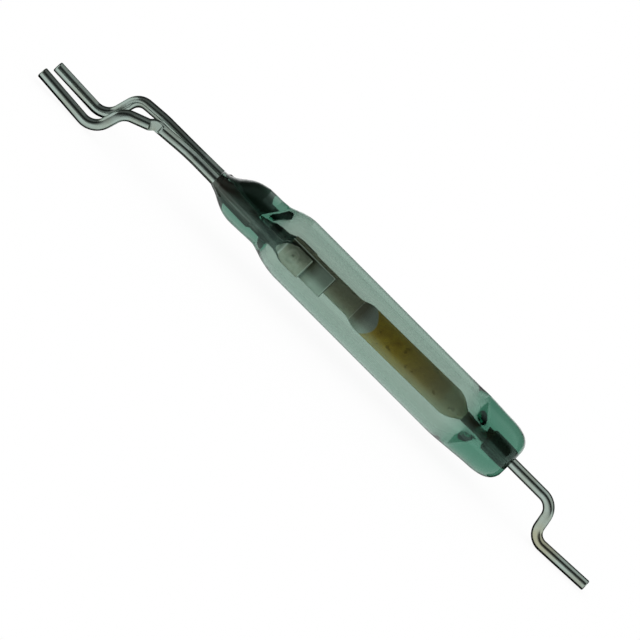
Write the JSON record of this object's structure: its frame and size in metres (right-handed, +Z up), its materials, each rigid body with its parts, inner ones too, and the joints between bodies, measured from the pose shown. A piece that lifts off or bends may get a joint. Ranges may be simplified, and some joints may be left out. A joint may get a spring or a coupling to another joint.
{
  "type": "changeover reed sensor",
  "caption": "Glass reed sensor: a sprung reed changes over between two fixed contacts in a sealed tube, with round wire gull-wing leads for a board.",
  "frame": {"origin": "bottom centre of the whole sensor, on the plane its three heels stand on", "axes": "+X along the glass towards the single common lead, +Y towards the normally open lead, +Z up from the board"},
  "size_m": [0.027, 0.003, 0.0031],
  "materials": {
    "glass": "gloss",
    "lead_wire": "bright tin plate over nickel-iron wire",
    "contact_pad": "satin grey contact metal",
    "reed": "satin gold plate, grey contact plating at the front"
  },
  "bodies": {
    "root": {"glass_capsule": "glass", "normally_closed_lead": "lead_wire", "normally_open_lead": "lead_wire", "nc_contact_pad": "contact_pad", "common_lead": "lead_wire"},
    "reed": {"common_reed": "reed"}
  },
  "joints": [
    {"name": "reed_swing", "type": "hinge", "parent": "root", "child": "reed", "pos_m": [0.00345, 0, 0.00177], "axis": [-0.0245, 0, -0.9997], "range_deg": [0, 0.9], "stiffness_Nm_per_rad": 0.0054, "springref_deg": -0.57}
  ]
}
